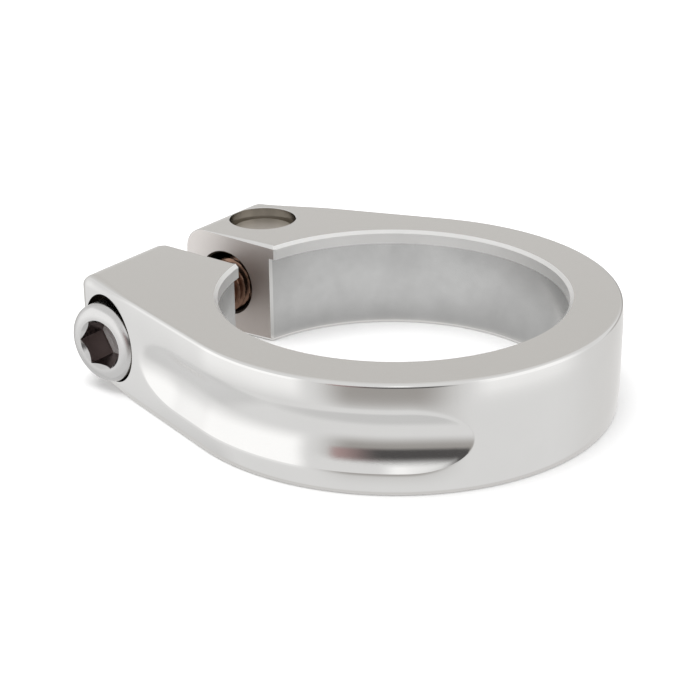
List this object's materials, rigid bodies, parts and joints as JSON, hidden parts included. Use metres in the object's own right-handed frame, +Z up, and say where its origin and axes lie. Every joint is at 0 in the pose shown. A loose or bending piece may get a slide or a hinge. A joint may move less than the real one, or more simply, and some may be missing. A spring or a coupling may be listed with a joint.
{
  "type": "seatpost clamp",
  "caption": "Split aluminium seatpost clamp with a stop lip, tapered ears and milled side grooves, closed by a socket head bolt in a barrel nut.",
  "frame": {"origin": "bore axis at the underside of the collar", "axes": "+Z up along the bore towards the stop lip, -X towards the ears, -Y towards the bolt head"},
  "size_m": [0.0461, 0.04, 0.0098],
  "materials": {
    "collar_aluminium": "polished",
    "bolt_steel": "bright plated",
    "nut_steel": "turned"
  },
  "bodies": {
    "collar": {"clamp_collar": "collar_aluminium"},
    "nut": {"barrel_nut": "nut_steel"},
    "bolt": {"clamp_bolt": "bolt_steel"}
  },
  "joints": [
    {"name": "nut_swivel", "type": "hinge", "parent": "collar", "child": "nut", "pos_m": [-0.0212, 0.0086, 0.00462], "axis": [0, 0, 1], "range_deg": [-0.5, 0.5]},
    {"name": "bolt_turn", "type": "hinge", "parent": "nut", "child": "bolt", "pos_m": [-0.0212, 0, 0.00462], "axis": [0, 1, 0], "continuous": true}
  ]
}
